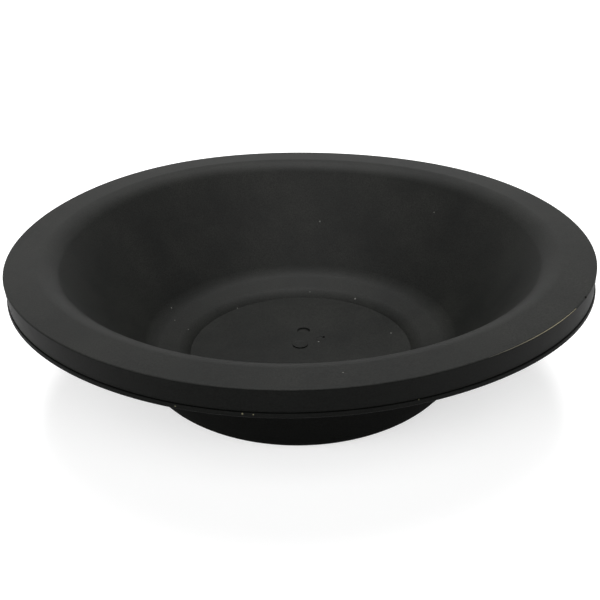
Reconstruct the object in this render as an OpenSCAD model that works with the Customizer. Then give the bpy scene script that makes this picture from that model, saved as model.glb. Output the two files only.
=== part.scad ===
// Accumulator diaphragm of a hydraulic breaker: one moulded rubber bowl with a wide clamping flange.
// Millimetres. +Z is up through the open side, and the origin is the middle of the flat bottom.

/* [Flange] */
// Outside diameter over the top edge of the flange
flange_od = 200; // [190:0.5:210]
// Height of the flange top above the flat bottom
overall_height = 56; // [54:0.2:60]
// Height of the flange side, from its top face to the parting groove
side_height = 7.4; // [6:0.05:9]
// How far the side leans in over its height, for release from the mould
side_draft = 0.8; // [0:0.1:1.2]
// Rounding of the outer top edge
top_edge_round = 0.4; // [0.2:0.1:0.8]
// Height of the fine parting groove under the side
groove_height = 0.15; // [0.1:0.05:0.4]
// Depth of the parting groove, from the foot of the side
groove_depth = 0.4; // [0.2:0.05:0.8]
// Height of the parting bead under the groove
bead_height = 1.3; // [1:0.1:1.6]
// Outside diameter of the parting bead, at the foot of its face
bead_od = 199.4; // [198.6:0.1:200]
// How far the face of the bead leans back over its height
bead_lean = 0.2; // [0:0.05:0.3]
// Edge break of the parting bead
bead_edge = 0.25; // [0.1:0.05:0.35]

/* [Lip and wall] */
// Inside diameter of the flat part of the flange top
flat_inside_diameter = 179.4; // [177:0.2:184]
// Radius of the rounded lip from the flange top into the bowl
lip_round = 9.2; // [7:0.2:11]
// Slope of the bowl wall, from level
wall_slope = 53.5; // [52:0.5:56]
// Thickness of the bowl wall, square to its face
wall_thickness = 6.2; // [5:0.1:7]
// Radius under the flange, where the wall meets it
underside_round = 4; // [2:0.5:6]
// Radius of the outer bottom edge
bottom_round = 20; // [12:0.5:24]

/* [Floor] */
// Depth of the floor below the flange top
floor_depth = 45.4; // [44:0.2:46.5]
// Diameter of the floor disc
floor_diameter = 82.7; // [78:0.1:84]
// Height of the shoulder above the floor
shoulder_height = 2.2; // [2:0.1:3]
// Slope of the step face between floor and shoulder, from level
step_slope = 57; // [50:1:62]
// Radius of the rounded upper edge of the step
step_round = 3; // [2:0.1:3.4]
// Radius of the hollow corner between shoulder and wall
shoulder_round = 11; // [8:0.5:12]

/* [Moulding marks] */
// Diameter of the low round pip by the middle of the floor
pip_diameter = 5.8; // [4:0.2:8]
// Height of the pip
pip_height = 0.5; // [0.2:0.05:0.8]
// Place of the pip on the floor, right and back
pip_at = [-0.1, 1.6]; // [-6:0.1:6]
// Diameter of the shallow round dimple behind the pip
dimple_diameter = 5; // [4:0.2:6]
// Depth of the dimple
dimple_depth = 0.8; // [0.2:0.05:1]
// Place of the dimple on the floor, right and back
dimple_at = [1.3, 12.6]; // [10:0.1:16]
// Diameter of the pin mark right of the dimple
pin_diameter = 1; // [0.6:0.1:1.6]
// Depth of the pin mark
pin_depth = 0.6; // [0.2:0.1:1]
// Place of the pin mark on the floor, right and back
pin_at = [8.9, 7.2]; // [7:0.1:12]

/* [Hidden] */
$fn = 96;
// Length by which a marking tool passes the face it cuts or joins
overlap = 0.5;

// Points of an arc about (cr, cz), from angle a to angle b, n steps, its end points included
function arc(cr, cz, radius, a, b, n) = [
    for (i = [0 : n]) let (t = a + (b - a) * i / n) [cr + radius * cos(t), cz + radius * sin(t)]
];

flange_r = flange_od / 2;
bead_r = bead_od / 2;
side_foot_z = overall_height - side_height;
side_foot_r = flange_r - side_draft;
groove_r = side_foot_r - groove_depth;
bead_top_z = side_foot_z - groove_height;
underside_z = bead_top_z - bead_height;

// Inner wall: its upper end, where the lip begins
lip_centre_r = flat_inside_diameter / 2;
wall_top_r = lip_centre_r - lip_round * sin(wall_slope);
wall_top_z = overall_height - lip_round * (1 - cos(wall_slope));

// Radius of a face parallel to the inner wall, an offset outside it, at a height
function wall_r(offset, z) = wall_top_r + offset * sin(wall_slope)
    - (wall_top_z - offset * cos(wall_slope) - z) / tan(wall_slope);

// Outer bottom edge and the corner under the flange
bottom_centre_r = wall_r(wall_thickness - bottom_round, bottom_round);
under_centre_r = wall_r(wall_thickness, underside_z) + underside_round * tan(wall_slope / 2);

// Floor, step and shoulder
floor_z = overall_height - floor_depth;
floor_r = floor_diameter / 2;
shoulder_z = floor_z + shoulder_height;
step_arc_drop = step_round * (1 - cos(step_slope));
step_centre_r = floor_r + (shoulder_height - step_arc_drop) / tan(step_slope) + step_round * sin(step_slope);
hollow_centre_r = wall_r(0, shoulder_z) - shoulder_round * tan(wall_slope / 2);

section = concat(
    [[0, 0]],
    arc(bottom_centre_r, bottom_round, bottom_round, -90, wall_slope - 90, 8),
    arc(under_centre_r, underside_z - underside_round, underside_round, wall_slope + 90, 90, 4),
    [
        [bead_r - bead_edge, underside_z],
        [bead_r, underside_z + bead_edge],
        [bead_r - bead_lean, bead_top_z - bead_edge],
        [bead_r - bead_lean - bead_edge, bead_top_z],
        [groove_r, bead_top_z],
        [groove_r, side_foot_z],
        [side_foot_r, side_foot_z]
    ],
    arc(flange_r - top_edge_round, overall_height - top_edge_round, top_edge_round, 0, 90, 3),
    arc(lip_centre_r, overall_height - lip_round, lip_round, 90, wall_slope + 90, 9),
    arc(hollow_centre_r, shoulder_z + shoulder_round, shoulder_round, wall_slope - 90, -90, 7),
    arc(step_centre_r, shoulder_z - step_round, step_round, 90, step_slope + 90, 6),
    [[floor_r, floor_z], [0, floor_z]]
);

// The moulded body, with its low marks on the floor
module diaphragm() {
    color([0.05, 0.05, 0.05])
    difference() {
        union() {
            rotate_extrude()
                polygon(section);
            translate([pip_at[0], pip_at[1], floor_z - overlap])
                cylinder(d = pip_diameter, h = overlap + pip_height);
        }
        translate([dimple_at[0], dimple_at[1], floor_z - dimple_depth])
            cylinder(d = dimple_diameter, h = dimple_depth + overlap);
        translate([pin_at[0], pin_at[1], floor_z - pin_depth])
            cylinder(d = pin_diameter, h = pin_depth + overlap);
    }
}

diaphragm();
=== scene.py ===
import math

import bmesh
import bpy
from mathutils import Matrix, Vector


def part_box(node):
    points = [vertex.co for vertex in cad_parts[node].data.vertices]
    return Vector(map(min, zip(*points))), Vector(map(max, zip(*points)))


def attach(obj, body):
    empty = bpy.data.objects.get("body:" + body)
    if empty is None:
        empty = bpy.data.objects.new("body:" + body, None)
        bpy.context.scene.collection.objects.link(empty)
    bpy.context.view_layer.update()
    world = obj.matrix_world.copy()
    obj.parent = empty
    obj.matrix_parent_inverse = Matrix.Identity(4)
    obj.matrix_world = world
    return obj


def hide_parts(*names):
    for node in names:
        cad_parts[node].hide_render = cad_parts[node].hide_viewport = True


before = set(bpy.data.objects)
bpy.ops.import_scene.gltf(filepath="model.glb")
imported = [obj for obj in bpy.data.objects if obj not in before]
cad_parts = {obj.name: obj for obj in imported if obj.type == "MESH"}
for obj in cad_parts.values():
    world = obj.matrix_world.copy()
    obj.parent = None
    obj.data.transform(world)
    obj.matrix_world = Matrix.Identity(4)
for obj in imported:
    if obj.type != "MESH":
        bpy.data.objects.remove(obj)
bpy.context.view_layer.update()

# The diaphragm is one bowl of black nitrile rubber, pressed in a two-part mould. Its wide flange is
# clamped between the halves of the accumulator, and the thin wall bends between gas and oil.
# The mesh is its section, drawn as corners that are rounded and spun about the bowl's axis.
mm = 0.001
node_low, node_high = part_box("diaphragm")
flange_radius = node_high[0]
bottom = node_low[2]
top = node_high[2]

side_height = 7.4 * mm
side_draft = 0.8 * mm
side_foot_round = 0.2 * mm
top_edge_round = 0.4 * mm
groove_height = 0.15 * mm
groove_depth = 0.4 * mm
groove_round = 0.06 * mm
bead_height = 1.3 * mm
bead_radius = flange_radius - 0.3 * mm
bead_lean = 0.2 * mm
bead_edge_round = 0.25 * mm
lip_start_radius = flange_radius - 10.3 * mm
lip_round = 9.2 * mm
wall_slope = math.radians(53.5)
wall_thickness = 6.2 * mm
underside_round = 4.0 * mm
bottom_round = 20.0 * mm
floor_height = top - 45.4 * mm
floor_radius = 41.35 * mm
shoulder_height = floor_height + 2.1 * mm
shoulder_slope = math.radians(15)
step_slope = math.radians(50)
step_round = 8.4 * mm
shoulder_round = 10.0 * mm
body_spin_steps = 384

# Where the inner wall's face, carried on in a straight line, meets the level of the flange top.
wall_reach = lip_start_radius - lip_round * math.tan(wall_slope / 2)


def wall_face(height, outside=0.0):
    """Radius of the wall's inner face at a height, or of a face a distance outside it."""
    return wall_reach - (top - height) / math.tan(wall_slope) + outside / math.sin(wall_slope)


side_foot = top - side_height
bead_top = side_foot - groove_height
underside = bead_top - bead_height
groove_radius = flange_radius - side_draft - groove_depth
step_top_radius = floor_radius + (shoulder_height - floor_height) / math.tan(step_slope)

# Where the shoulder, carried on outwards, meets the wall.
wall_rise = math.tan(wall_slope)
shoulder_rise = math.tan(shoulder_slope)
hollow_radius = (wall_reach * wall_rise - (top - shoulder_height)
                 - step_top_radius * shoulder_rise) / (wall_rise - shoulder_rise)
hollow_height = shoulder_height + (hollow_radius - step_top_radius) * shoulder_rise

# Corners of the section, from the bottom's middle round to the floor's middle. Each has its radius and
# height, the radius of its rounding, and the steps of that arc.
section_corners = [
    (0.0, bottom, 0.0, 0),
    (wall_face(bottom, wall_thickness), bottom, bottom_round, 16),
    (wall_face(underside, wall_thickness), underside, underside_round, 8),
    (bead_radius, underside, bead_edge_round, 3),
    (bead_radius - bead_lean, bead_top, bead_edge_round, 4),
    (groove_radius, bead_top, groove_round, 2),
    (groove_radius, side_foot, groove_round, 2),
    (flange_radius - side_draft, side_foot, side_foot_round, 3),
    (flange_radius, top, top_edge_round, 5),
    (wall_reach, top, lip_round, 20),
    (hollow_radius, hollow_height, shoulder_round, 16),
    (step_top_radius, shoulder_height, step_round, 12),
    (floor_radius, floor_height, 0.0, 0),
    (0.0, floor_height, 0.0, 0),
]


def spun_form(name, corners, spin_steps):
    """A closed round form, from corners of its half section with their roundings."""
    form = bmesh.new()
    points = [form.verts.new((radius, 0.0, height)) for radius, height, _, _ in corners]
    for start, end in zip(points, points[1:]):
        form.edges.new((start, end))
    # Rounding a corner takes it away, so every length is worked out before the first one is rounded.
    roundings = []
    for before, corner, after, values in zip(points, points[1:], points[2:], corners[1:]):
        turn = (corner.co - before.co).angle(after.co - corner.co)
        _, _, rounding, arc_steps = values
        roundings.append((corner, rounding * math.tan(turn / 2), arc_steps))
    for corner, length, arc_steps in roundings:
        if arc_steps:
            bmesh.ops.bevel(form, geom=[corner], offset=length, offset_type="OFFSET", segments=arc_steps,
                            profile=0.5, affect="VERTICES", material=-1)
    bmesh.ops.spin(form, geom=form.verts[:] + form.edges[:], axis=(0, 0, 1), cent=(0, 0, 0), dvec=(0, 0, 0),
                   steps=spin_steps, angle=2 * math.pi, use_merge=True, use_duplicate=False)
    bmesh.ops.remove_doubles(form, verts=form.verts[:], dist=0.001 * mm)
    bmesh.ops.recalc_face_normals(form, faces=form.faces[:])
    form_data = bpy.data.meshes.new(name)
    form.to_mesh(form_data)
    form.free()
    piece = bpy.data.objects.new(name, form_data)
    bpy.context.scene.collection.objects.link(piece)
    return piece


diaphragm = spun_form("moulded_diaphragm", section_corners, body_spin_steps)

# The mould leaves marks on the floor: a low pip with a raised rim by its middle, a dimple behind the pip,
# and a pin mark in a faint ring. The flange's top edge has a small dent.
pip_place = (-0.1 * mm, 1.6 * mm, 0)
pip_radius = 2.9 * mm
pip_rim_width = 0.55 * mm
pip_slope_width = 0.35 * mm
pip_edge_round = 0.12 * mm
pip_slope_round = 0.3 * mm
pip_root = floor_height - 0.5 * mm
pip_rim = floor_height + 0.5 * mm
pip_middle = floor_height + 0.4 * mm
pip_spin_steps = 64
pip_corners = [
    (0.0, pip_root, 0.0, 0),
    (pip_radius, pip_root, 0.0, 0),
    (pip_radius, pip_rim, pip_edge_round, 4),
    (pip_radius - pip_rim_width, pip_rim, pip_slope_round, 4),
    (pip_radius - pip_rim_width - pip_slope_width, pip_middle, pip_slope_round, 4),
    (0.0, pip_middle, 0.0, 0),
]


def work_into(body, tool, operation):
    """Joins a form to the body, or cuts it out of it, and takes the form away."""
    step = body.modifiers.new("work_into", "BOOLEAN")
    step.operation = operation
    step.solver = "EXACT"
    step.object = tool
    bpy.context.view_layer.update()
    finished = bpy.data.meshes.new_from_object(body.evaluated_get(bpy.context.evaluated_depsgraph_get()))
    body.modifiers.clear()
    body.data = finished
    bpy.data.objects.remove(tool)


pip = spun_form("pip", pip_corners, pip_spin_steps)
pip.data.transform(Matrix.Translation(pip_place))
work_into(diaphragm, pip, "UNION")

# The sunk marks. Each has its place, the degrees that it leans about the bowl's front-to-back line, the
# radius of its foot and of its mouth, its depth, and the rounding of its foot with the steps of that arc.
# The mouth's radius is that of the cutter's upper end, which stands a little above the surface.
dent_angle = math.radians(-31.7)
dent_place = (flange_radius * math.cos(dent_angle), flange_radius * math.sin(dent_angle), top)
sunk_marks = [
    ("dimple", (1.3 * mm, 12.6 * mm, floor_height), 4, 2.5 * mm, 2.5 * mm, 0.8 * mm, 0.3 * mm, 4),
    ("ring", (7.8 * mm, 5.5 * mm, floor_height), 2, 1.9 * mm, 2.0 * mm, 0.12 * mm, 0.1 * mm, 3),
    ("pin", (8.9 * mm, 7.2 * mm, floor_height), 0, 0.5 * mm, 0.5 * mm, 0.6 * mm, 0.1 * mm, 3),
    ("dent", dent_place, 0, 0.6 * mm, 0.6 * mm, 0.5 * mm, 0.2 * mm, 3),
]
cutter_top = 1.0 * mm
cutter_spin_steps = 48
for name, place, lean, foot_radius, mouth_radius, depth, foot_round, arc_steps in sunk_marks:
    cutter_corners = [
        (0.0, -depth, 0.0, 0),
        (foot_radius, -depth, foot_round, arc_steps),
        (mouth_radius, cutter_top, 0.0, 0),
        (0.0, cutter_top, 0.0, 0),
    ]
    cutter = spun_form(name, cutter_corners, cutter_spin_steps)
    cutter.data.transform(Matrix.Translation(place) @ Matrix.Rotation(math.radians(lean), 4, "Y"))
    work_into(diaphragm, cutter, "DIFFERENCE")

# A hair of flash stands up along a stretch of the top edge, at the right front.
flash_start = math.radians(-60)
flash_end = math.radians(-37)
flash_height = 0.12 * mm
flash_width = 0.45 * mm
flash_root = 0.15 * mm
flash_mesh = bmesh.new()
flash_mesh.from_mesh(diaphragm.data)
for point in flash_mesh.verts:
    around = math.atan2(point.co.y, point.co.x)
    on_edge = point.co.z > top - flash_root and point.co.xy.length > flange_radius - flash_width
    if on_edge and flash_start < around < flash_end:
        along = (around - flash_start) / (flash_end - flash_start)
        point.co.z += flash_height * math.sin(math.pi * along)
flash_mesh.to_mesh(diaphragm.data)
flash_mesh.free()

sharp_edge = math.radians(40)
diaphragm.data.shade_smooth()
diaphragm.data.set_sharp_from_angle(angle=sharp_edge)
even_shading = diaphragm.modifiers.new("even_shading", "WEIGHTED_NORMAL")
even_shading.keep_sharp = True

# Moulded rubber skin: a fine matt grain from the mould, and a thin grey bloom that lies in soft clouds.
# Each finish of the bowl uses it with its own values.
skin_sockets = [
    ("INPUT", "Rubber Colour", "NodeSocketColor"),
    ("INPUT", "Bloom Colour", "NodeSocketColor"),
    ("INPUT", "Bloom", "NodeSocketFloat"),
    ("INPUT", "Grain", "NodeSocketFloat"),
    ("INPUT", "Roughness", "NodeSocketFloat"),
    ("OUTPUT", "Colour", "NodeSocketColor"),
    ("OUTPUT", "Roughness", "NodeSocketFloat"),
    ("OUTPUT", "Normal", "NodeSocketVector"),
]
skin = bpy.data.node_groups.new("moulded_rubber_skin", "ShaderNodeTree")
for side, socket_name, socket_type in skin_sockets:
    skin.interface.new_socket(socket_name, in_out=side, socket_type=socket_type)
skin_in = skin.nodes.new("NodeGroupInput")
skin_out = skin.nodes.new("NodeGroupOutput")
skin_place = skin.nodes.new("ShaderNodeTexCoord")


def skin_noise(size, detail, roughness):
    """Noise over the skin whose patches are about a size across."""
    noise = skin.nodes.new("ShaderNodeTexNoise")
    noise.inputs["Scale"].default_value = 1 / size
    noise.inputs["Detail"].default_value = detail
    noise.inputs["Roughness"].default_value = roughness
    skin.links.new(skin_place.outputs["Object"], noise.inputs["Vector"])
    return noise.outputs["Fac"]


def skin_range(value, low, high, new_low, new_high):
    """Spreads a noise value over a new range."""
    spread = skin.nodes.new("ShaderNodeMapRange")
    for name, amount in (("From Min", low), ("From Max", high), ("To Min", new_low), ("To Max", new_high)):
        spread.inputs[name].default_value = amount
    skin.links.new(value, spread.inputs["Value"])
    return spread.outputs["Result"]


def skin_math(operation, first, second):
    """One sum or product of two values."""
    node = skin.nodes.new("ShaderNodeMath")
    node.operation = operation
    skin.links.new(first, node.inputs[0])
    skin.links.new(second, node.inputs[1])
    return node.outputs["Value"]


clouds = skin_noise(size=24 * mm, detail=3, roughness=0.55)
smudges = skin_noise(size=5 * mm, detail=2, roughness=0.5)
grain = skin_noise(size=0.45 * mm, detail=2, roughness=0.6)

# The bloom is thickest in the clouds, and the smudges break it up.
cloud_share = skin_range(clouds, low=0.35, high=0.68, new_low=0.0, new_high=1.0)
smudge_share = skin_range(smudges, low=0.3, high=0.7, new_low=0.75, new_high=1.0)
clouded_smudges = skin_math("MULTIPLY", cloud_share, smudge_share)
bloom_share = skin_math("MULTIPLY", clouded_smudges, skin_in.outputs["Bloom"])
bloomed = skin.nodes.new("ShaderNodeMix")
bloomed.data_type = "RGBA"
skin.links.new(bloom_share, bloomed.inputs["Factor"])
skin.links.new(skin_in.outputs["Rubber Colour"], bloomed.inputs["A"])
skin.links.new(skin_in.outputs["Bloom Colour"], bloomed.inputs["B"])

# The grain darkens and lightens the colour.
speckled = skin.nodes.new("ShaderNodeMix")
speckled.data_type = "RGBA"
speckled.blend_type = "MULTIPLY"
speckled.inputs["Factor"].default_value = 1.0
skin.links.new(bloomed.outputs["Result"], speckled.inputs["A"])
skin.links.new(skin_range(grain, low=0.3, high=0.7, new_low=0.4, new_high=1.6), speckled.inputs["B"])
skin.links.new(speckled.outputs["Result"], skin_out.inputs["Colour"])

# Clouds and smudges make the shine a little uneven.
roughness_swing = 0.01
cloud_swing = skin_range(clouds, low=0.3, high=0.7, new_low=-roughness_swing, new_high=roughness_swing)
smudge_swing = skin_range(smudges, low=0.3, high=0.7, new_low=-roughness_swing, new_high=roughness_swing)
uneven = skin_math("ADD", cloud_swing, smudge_swing)
skin.links.new(skin_math("ADD", skin_in.outputs["Roughness"], uneven), skin_out.inputs["Roughness"])

# The grain also stands up a little from the skin.
relief = skin.nodes.new("ShaderNodeBump")
relief.inputs["Distance"].default_value = 0.02 * mm
skin.links.new(skin_in.outputs["Grain"], relief.inputs["Strength"])
skin.links.new(grain, relief.inputs["Height"])
skin.links.new(relief.outputs["Normal"], skin_out.inputs["Normal"])

mould_grain = 0.35


def rubber_finish(name, colour, bloom_colour, bloom, roughness, shine):
    """A rubber material with its own colour, bloom and shine. Returns it, its skin and its shader."""
    finish = bpy.data.materials.new(name)
    finish.use_nodes = True
    nodes = finish.node_tree.nodes
    shader = nodes["Principled BSDF"]
    shader.inputs["Specular IOR Level"].default_value = shine
    surface = nodes.new("ShaderNodeGroup")
    surface.node_tree = skin
    surface.inputs["Rubber Colour"].default_value = colour
    surface.inputs["Bloom Colour"].default_value = bloom_colour
    surface.inputs["Bloom"].default_value = bloom
    surface.inputs["Grain"].default_value = mould_grain
    surface.inputs["Roughness"].default_value = roughness
    for socket, target in (("Colour", "Base Color"), ("Roughness", "Roughness"), ("Normal", "Normal")):
        finish.node_tree.links.new(surface.outputs[socket], shader.inputs[target])
    return finish, surface, shader


rubber, rubber_skin, rubber_shader = rubber_finish(
    "black_rubber", colour=(0.0045, 0.0048, 0.0043, 1), bloom_colour=(0.0098, 0.0101, 0.0089, 1),
    bloom=0.75, roughness=0.55, shine=0.08)
# The side copy has about half the rubber's colour and less shine: painted shade on the flange's side.
side_shade_rubber, side_shade_skin, side_shade_shader = rubber_finish(
    "black_rubber_painted_side_shade", colour=(0.0022, 0.0024, 0.0021, 1), bloom_colour=(0.0042, 0.0044, 0.0040, 1),
    bloom=0.4, roughness=0.54, shine=0.04)
# The outside copy is dimmer and almost without shine: painted shade under the flange.
outside_shade_rubber, _, _ = rubber_finish(
    "black_rubber_painted_outside_shade", colour=(0.0040, 0.0042, 0.0039, 1), bloom_colour=(0.0056, 0.0058, 0.0055, 1),
    bloom=0.3, roughness=0.6, shine=0.0008)
# The flash copy is several times paler than the rubber: a painted highlight on the flash edge.
flash_highlight_rubber, flash_skin, flash_shader = rubber_finish(
    "painted_flash_highlight", colour=(0.03, 0.03, 0.028, 1), bloom_colour=(0.04, 0.04, 0.036, 1),
    bloom=0.4, roughness=0.6, shine=0.08)

# Specks of dust lie on the open side. A few pale tan specks on the bead under the flange's side are painted
# glints. Within a share of a speck's radius the speck is full, and from there it thins out.
full_speck_share = 0.5


def lay_dust_and_glints(finish, surface, shader, colour, counted, specks):
    """Lays specks of one colour on a finish, for dust and for painted glints. Each speck is a place and a
    radius in millimetres. The less an axis is counted, the further a speck reaches along it."""
    nodes = finish.node_tree.nodes
    links = finish.node_tree.links
    place = nodes.new("ShaderNodeTexCoord")
    flattened = nodes.new("ShaderNodeVectorMath")
    flattened.operation = "MULTIPLY"
    flattened.inputs[1].default_value = counted
    links.new(place.outputs["Object"], flattened.inputs[0])
    dust_and_glint_colour = nodes.new("ShaderNodeMix")
    dust_and_glint_colour.data_type = "RGBA"
    dust_and_glint_colour.inputs["B"].default_value = colour
    links.new(surface.outputs["Colour"], dust_and_glint_colour.inputs["A"])
    dust_and_glint_share = None
    for x, y, z, radius in specks:
        away = nodes.new("ShaderNodeVectorMath")
        away.operation = "DISTANCE"
        away.inputs[1].default_value = (x * counted[0] * mm, y * counted[1] * mm, z * counted[2] * mm)
        links.new(flattened.outputs["Vector"], away.inputs[0])
        spot = nodes.new("ShaderNodeMapRange")
        spot.inputs["From Min"].default_value = radius * mm
        spot.inputs["From Max"].default_value = full_speck_share * radius * mm
        links.new(away.outputs["Value"], spot.inputs["Value"])
        either = nodes.new("ShaderNodeMath")
        either.operation = "MAXIMUM"
        either.inputs[1].default_value = 0.0
        links.new(spot.outputs["Result"], either.inputs[0])
        if dust_and_glint_share:
            links.new(dust_and_glint_share, either.inputs[1])
        dust_and_glint_share = either.outputs["Value"]
    links.new(dust_and_glint_share, dust_and_glint_colour.inputs["Factor"])
    links.new(dust_and_glint_colour.outputs["Result"], shader.inputs["Base Color"])


grey_dust = (0.13, 0.13, 0.12, 1)
painted_tan_glints = (0.1, 0.095, 0.06, 1)
lay_dust_and_glints(rubber, rubber_skin, rubber_shader, colour=grey_dust, counted=(1, 1, 0), specks=[
    (23.0, 36.4, 0, 0.36), (35.1, 9.2, 0, 0.34), (4.4, 43.2, 0, 0.2), (-51.0, 22.0, 0, 0.28),
    (-49.0, 15.2, 0, 0.22), (-43.4, 10.9, 0, 0.22), (10.8, -91.9, 0, 0.22), (-25.7, 32.5, 0, 0.22),
    (9.5, 68.4, 0, 0.24), (56.2, 50.7, 0, 0.18), (6.9, 3.7, 0, 0.4)
])
# The tan specks on the bead are painted glints.
lay_dust_and_glints(side_shade_rubber, side_shade_skin, side_shade_shader, colour=painted_tan_glints, counted=(1, 0.02, 1), specks=[
    (-15.1, -98.4, 48.0, 0.3), (-12.3, -98.8, 47.9, 0.22), (30.4, -94.8, 48.1, 0.2),
    (-32.6, -94.1, 48.1, 0.22)
])

# The flash's pale colour is a painted highlight along the edge. It starts grey and gets paler towards its
# right end.
flash_highlight_full = math.radians(-44)
painted_edge_highlight = (0.16, 0.145, 0.1, 1)
flash_nodes = flash_highlight_rubber.node_tree.nodes
flash_links = flash_highlight_rubber.node_tree.links
flash_place = flash_nodes.new("ShaderNodeTexCoord")
flash_sides = flash_nodes.new("ShaderNodeSeparateXYZ")
flash_links.new(flash_place.outputs["Object"], flash_sides.inputs["Vector"])
flash_around = flash_nodes.new("ShaderNodeMath")
flash_around.operation = "ARCTAN2"
flash_links.new(flash_sides.outputs["Y"], flash_around.inputs[0])
flash_links.new(flash_sides.outputs["X"], flash_around.inputs[1])
flash_highlight_share = flash_nodes.new("ShaderNodeMapRange")
flash_highlight_share.inputs["From Min"].default_value = flash_start
flash_highlight_share.inputs["From Max"].default_value = flash_highlight_full
flash_links.new(flash_around.outputs["Value"], flash_highlight_share.inputs["Value"])
flash_highlight_colour = flash_nodes.new("ShaderNodeMix")
flash_highlight_colour.data_type = "RGBA"
flash_highlight_colour.inputs["B"].default_value = painted_edge_highlight
flash_links.new(flash_highlight_share.outputs["Result"], flash_highlight_colour.inputs["Factor"])
flash_links.new(flash_skin.outputs["Colour"], flash_highlight_colour.inputs["A"])
flash_links.new(flash_highlight_colour.outputs["Result"], flash_shader.inputs["Base Color"])

# A face takes its finish from where it lies: outside under the flange, on the flange's side, on the flash,
# or on the open side. The outside and side finishes are darker copies of the rubber that paint shade, and
# the flash finish paints a highlight. The margins keep it on the right side of the roundings between them.
outside_margin = 0.01 * mm
groove_margin = 0.1 * mm
edge_margin = 0.2 * mm
flash_foot = 0.25 * mm
finishes = [rubber, side_shade_rubber, outside_shade_rubber, flash_highlight_rubber]


def finish_at(middle):
    """The finish of a face whose middle is given."""
    radius = middle.xy.length
    around = math.atan2(middle.y, middle.x)
    under_flange = middle.z < underside + outside_margin and radius > wall_face(middle.z, wall_thickness / 2)
    if under_flange or middle.z < bottom + outside_margin:
        return outside_shade_rubber
    if radius > groove_radius - groove_margin and middle.z < top - edge_margin:
        return side_shade_rubber
    on_edge = radius > flange_radius - edge_margin and middle.z > top - flash_foot
    if on_edge and flash_start < around < flash_end:
        return flash_highlight_rubber
    return rubber


diaphragm.data.materials.clear()
for finish in finishes:
    diaphragm.data.materials.append(finish)
for face in diaphragm.data.polygons:
    face.material_index = finishes.index(finish_at(face.center))

# The rim of so soft a moulding is never quite round or level: it lies in a slow wave of up to about a
# millimetre, which dies out down the wall. Each row is one wave: how often it goes round, then the cosine
# and sine shares, in millimetres, of its swell, its lift, and its spread at the foot of the flange's side.
# The spread stops growing a little below that foot.
rim_waves = [
    (0, 0.05, 0.0, 0.0, 0.0, 0.2, 0.0),
    (1, -0.3, -0.05, 0.0, 0.05, -0.15, -0.1),
    (2, 0.1, -0.05, -0.05, 0.0, 0.25, -0.4),
    (3, 0.15, -0.3, 0.5, 0.0, 0.3, -0.15),
    (4, 0.2, -0.4, -0.35, 0.1, 0.0, 0.0),
]
still_radius = 70.0 * mm
free_radius = 92.0 * mm
furthest_down_side = 1.1
for point in diaphragm.data.vertices:
    out = min(1.0, (point.co.xy.length - still_radius) / (free_radius - still_radius))
    if out <= 0.0:
        continue
    # The wave grows smoothly from nothing at the still radius to all of it at the free radius.
    fading = out * out * (3.0 - 2.0 * out)
    down_side = max(0.0, min(furthest_down_side, (top - point.co.z) / side_height))
    around = math.atan2(point.co.y, point.co.x)
    swell = 0.0
    lift = 0.0
    for count, swell_cos, swell_sin, lift_cos, lift_sin, foot_cos, foot_sin in rim_waves:
        wave_cos = math.cos(count * around)
        wave_sin = math.sin(count * around)
        cos_share = swell_cos + foot_cos * down_side
        sin_share = swell_sin + foot_sin * down_side
        swell += wave_cos * cos_share + wave_sin * sin_share
        lift += wave_cos * lift_cos + wave_sin * lift_sin
    outwards = point.co.xy.normalized() * swell * fading * mm
    point.co.x += outwards.x
    point.co.y += outwards.y
    point.co.z += lift * fading * mm

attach(diaphragm, "root")
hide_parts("diaphragm")

# The floor is a plain white studio table, a hair under the bowl so that no two faces lie in one plane.
# To the camera and in reflections it glows a little, so that it looks white. Other light only bounces
# off it, up under the flange. From below it is clear, which leaves the underside in sight.
floor_size = 4.0
floor_gap = 0.1 * mm
floor_mesh = bmesh.new()
bmesh.ops.create_grid(floor_mesh, x_segments=1, y_segments=1, size=floor_size / 2)
floor_data = bpy.data.meshes.new("studio_floor")
floor_mesh.to_mesh(floor_data)
floor_mesh.free()
floor_data.transform(Matrix.Translation((0, 0, bottom - floor_gap)))
studio_floor = bpy.data.objects.new("studio_floor", floor_data)
bpy.context.scene.collection.objects.link(studio_floor)

floor_paint = bpy.data.materials.new("floor_paint")
floor_paint.use_nodes = True
floor_nodes = floor_paint.node_tree.nodes
floor_links = floor_paint.node_tree.links
floor_shader = floor_nodes["Principled BSDF"]
floor_shader.inputs["Roughness"].default_value = 0.9
floor_shader.inputs["Specular IOR Level"].default_value = 0.0


def seen_rays(tree):
    """A value that is one for rays from the camera, a gloss or a glass, and nothing for other light."""
    ray = tree.nodes.new("ShaderNodeLightPath")
    seen = ray.outputs["Is Camera Ray"]
    for kind in ("Is Glossy Ray", "Is Transmission Ray"):
        either = tree.nodes.new("ShaderNodeMath")
        either.operation = "MAXIMUM"
        tree.links.new(seen, either.inputs[0])
        tree.links.new(ray.outputs[kind], either.inputs[1])
        seen = either.outputs["Value"]
    return seen


floor_seen = seen_rays(floor_paint.node_tree)
for socket, unseen, in_sight in (("Base Color", 0.8, 0.6), ("Emission Color", 0.0, 0.57)):
    floor_tone = floor_nodes.new("ShaderNodeMix")
    floor_tone.data_type = "RGBA"
    floor_tone.inputs["A"].default_value = (unseen, unseen, unseen, 1)
    floor_tone.inputs["B"].default_value = (in_sight, in_sight, in_sight, 1)
    floor_links.new(floor_seen, floor_tone.inputs["Factor"])
    floor_links.new(floor_tone.outputs["Result"], floor_shader.inputs[socket])
floor_shader.inputs["Emission Strength"].default_value = 1.0
floor_side = floor_nodes.new("ShaderNodeNewGeometry")
floor_cover = floor_nodes.new("ShaderNodeMath")
floor_cover.operation = "SUBTRACT"
floor_cover.inputs[0].default_value = 1.0
floor_links.new(floor_side.outputs["Backfacing"], floor_cover.inputs[1])
floor_links.new(floor_cover.outputs["Value"], floor_shader.inputs["Alpha"])
floor_data.materials.append(floor_paint)

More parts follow.
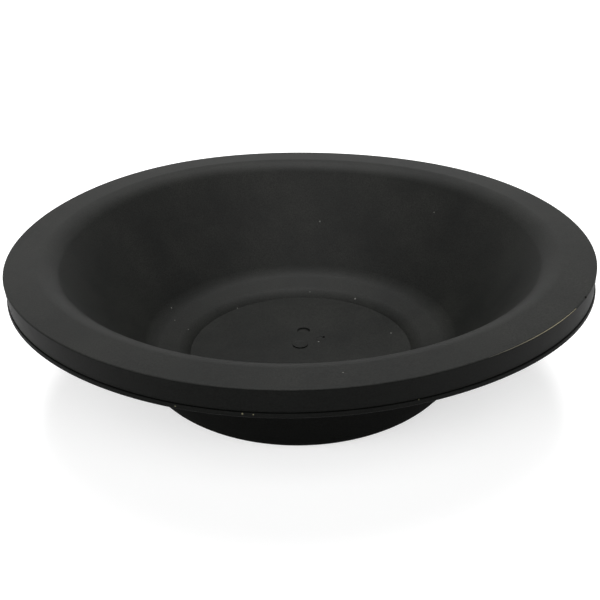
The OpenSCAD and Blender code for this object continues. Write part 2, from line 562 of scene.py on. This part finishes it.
# The surroundings are white to the camera and in reflections, as the pale walls of a studio are, and
# give next to no other light. Soft boxes light the bowl from overhead, from the front, from both front
# corners, and faintly from low behind.
white_in_sight = 1.0
other_light = 0.01
surround = bpy.data.worlds.new("studio_surround")
bpy.context.scene.world = surround
surround.use_nodes = True
surround_light = surround.node_tree.nodes["Background"]
surround_light.inputs["Color"].default_value = (1, 1, 1, 1)
surround_strength = surround.node_tree.nodes.new("ShaderNodeMapRange")
surround_strength.inputs["To Min"].default_value = other_light
surround_strength.inputs["To Max"].default_value = white_in_sight
surround.node_tree.links.new(seen_rays(surround.node_tree), surround_strength.inputs["Value"])
surround.node_tree.links.new(surround_strength.outputs["Result"], surround_light.inputs["Strength"])

bowl_middle = Vector((0.0, 0.0, 0.03))


def soft_box(name, place, width, height, watts):
    """A rectangular area lamp at a place, turned to the middle of the bowl."""
    lamp = bpy.data.lights.new(name, "AREA")
    lamp.shape = "RECTANGLE"
    lamp.size = width
    lamp.size_y = height
    lamp.energy = watts
    box = bpy.data.objects.new(name, lamp)
    bpy.context.scene.collection.objects.link(box)
    direction = bowl_middle - Vector(place)
    box.matrix_world = Matrix.Translation(place) @ direction.to_track_quat("-Z", "Y").to_matrix().to_4x4()


soft_box("overhead_box", (0.0, 0.0, 3.0), width=1.4, height=1.3, watts=26.0)
soft_box("overhead_back_box", (0.0, 1.03, 2.82), width=1.45, height=1.2, watts=84.0)
soft_box("front_box", (0.0, -2.12, 2.12), width=2.2, height=1.2, watts=42.0)
soft_box("front_left_box", (-1.94, -1.94, 1.22), width=2.3, height=0.95, watts=47.0)
soft_box("front_right_box", (1.94, -1.94, 1.22), width=2.3, height=0.95, watts=32.0)
soft_box("low_back_box", (0.0, 2.97, 0.42), width=2.5, height=0.7, watts=4.0)

# The camera stands three flange radii from the bowl and looks down into it from the front, turned
# a little about its own axis, as the photograph was taken.
camera_distance = 3.0 * flange_radius
camera_pitch = math.radians(26.75)
camera_roll = math.radians(1.13)
camera_aside = -0.0012 * flange_radius
camera_rise = 0.2292 * flange_radius
focal_pixels = 848.9
frame_pixels = 600

sight = Vector((0, math.cos(camera_pitch), -math.sin(camera_pitch)))
upright = Vector((0, math.sin(camera_pitch), math.cos(camera_pitch)))
sideways = Vector((1, 0, 0))
flange_middle = Vector((0, 0, top))
camera_place = flange_middle - sight * camera_distance - upright * camera_rise - sideways * camera_aside
rolled_right = sideways * math.cos(camera_roll) - upright * math.sin(camera_roll)
rolled_up = sideways * math.sin(camera_roll) + upright * math.cos(camera_roll)
camera_data = bpy.data.cameras.new("photo_camera")
camera_data.sensor_width = 36.0
camera_data.lens = camera_data.sensor_width * focal_pixels / frame_pixels
camera_data.clip_start = 0.01
camera = bpy.data.objects.new("photo_camera", camera_data)
bpy.context.scene.collection.objects.link(camera)
camera_turn = Matrix((rolled_right, rolled_up, -sight)).transposed().to_4x4()
camera.matrix_world = Matrix.Translation(camera_place) @ camera_turn
bpy.context.scene.camera = camera
bpy.context.scene.view_settings.view_transform = "Standard"
